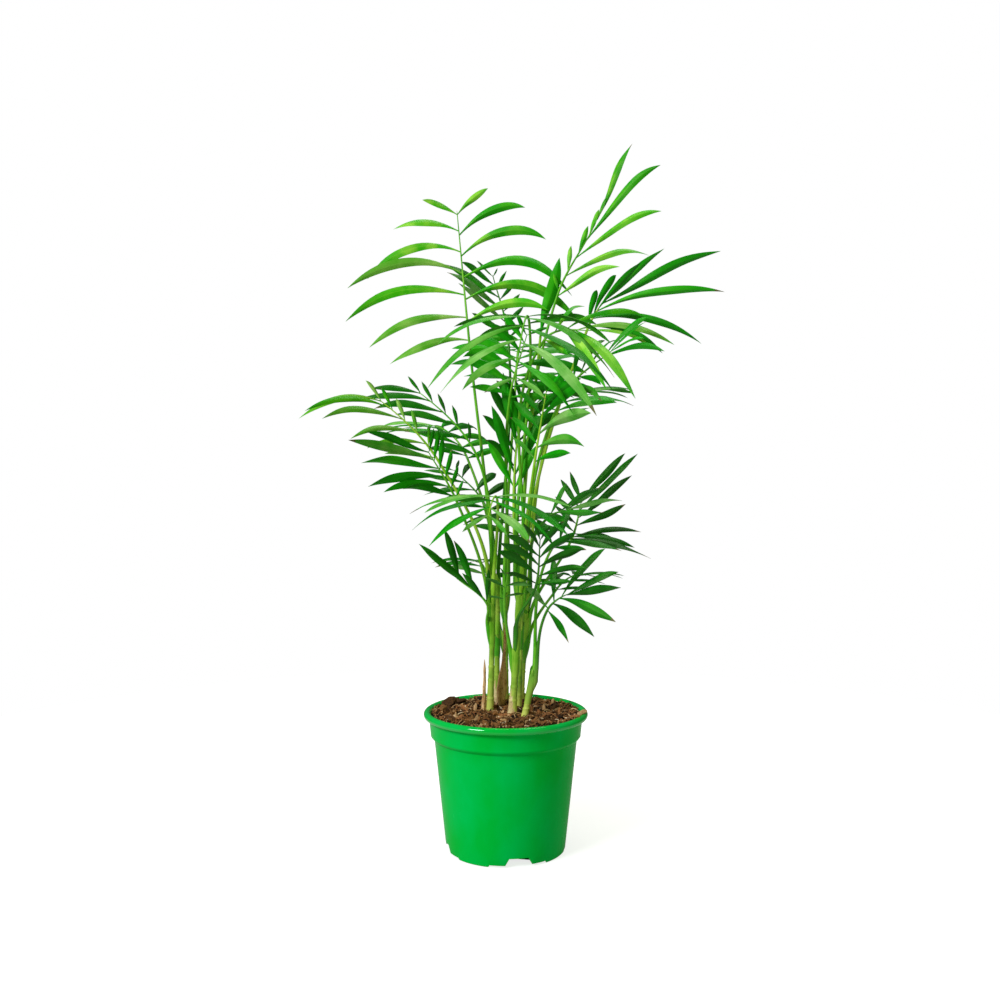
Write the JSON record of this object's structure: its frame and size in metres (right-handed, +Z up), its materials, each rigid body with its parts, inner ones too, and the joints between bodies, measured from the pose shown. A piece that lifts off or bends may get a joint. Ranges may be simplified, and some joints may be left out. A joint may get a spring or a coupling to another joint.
{
  "type": "potted parlour palm",
  "caption": "Small feather-leaved palm: slender upright green canes with arching pinnate fronds, in a tapered round nursery pot with a rolled rim, filled with bark mix.",
  "frame": {"origin": "centre of the pot's flat underside, at ground level", "axes": "+Z up along the pot's axis, +X to the right as the plant is seen from the front, +Y to the back; the front is -Y"},
  "size_m": [0.2941, 0.2331, 0.5253],
  "materials": {
    "pot_plastic": "glossy injection-moulded plastic",
    "potting_mix": "rough bark and coir chips",
    "green_cane": "smooth ringed green stem",
    "dry_sheath": "dry papery brown",
    "young_leaf": "satin bright leaf",
    "leaf": "satin mid-green leaf",
    "dark_leaf": "satin dark bluish-green leaf"
  },
  "bodies": {
    "root": {"pot": "pot_plastic", "soil": "potting_mix", "cane_left": "green_cane", "cane_middle": "green_cane", "cane_front": "green_cane", "cane_back": "green_cane", "cane_right": "green_cane", "cane_centre": "green_cane", "cane_far": "green_cane", "dead_sheath": "dry_sheath", "dead_stub": "dry_sheath", "frond_tall_left": "young_leaf", "frond_tall_left_back": "dark_leaf", "frond_tall_right": "young_leaf", "frond_spear": "leaf", "frond_front_high": "leaf", "frond_right_high": "leaf", "frond_right_pale": "young_leaf", "frond_centre_mid": "leaf", "frond_right_mid": "leaf", "frond_right_broad": "leaf", "frond_right_low": "dark_leaf", "frond_right_small": "dark_leaf", "frond_right_out": "dark_leaf", "frond_right_foot": "dark_leaf", "frond_left_foot": "dark_leaf", "frond_front_low": "leaf", "frond_left_mid": "leaf", "frond_left_far": "young_leaf", "frond_left_dark": "dark_leaf", "frond_centre_dark": "dark_leaf", "frond_centre_high": "leaf", "frond_centre_low": "dark_leaf", "frond_centre_small": "dark_leaf", "frond_back_left_dark": "dark_leaf", "frond_back_high": "leaf", "frond_back_right": "leaf", "frond_back_left": "leaf", "frond_back_mid": "dark_leaf", "frond_back_low_right": "dark_leaf", "frond_back_low_left": "dark_leaf"}
  },
  "joints": []
}
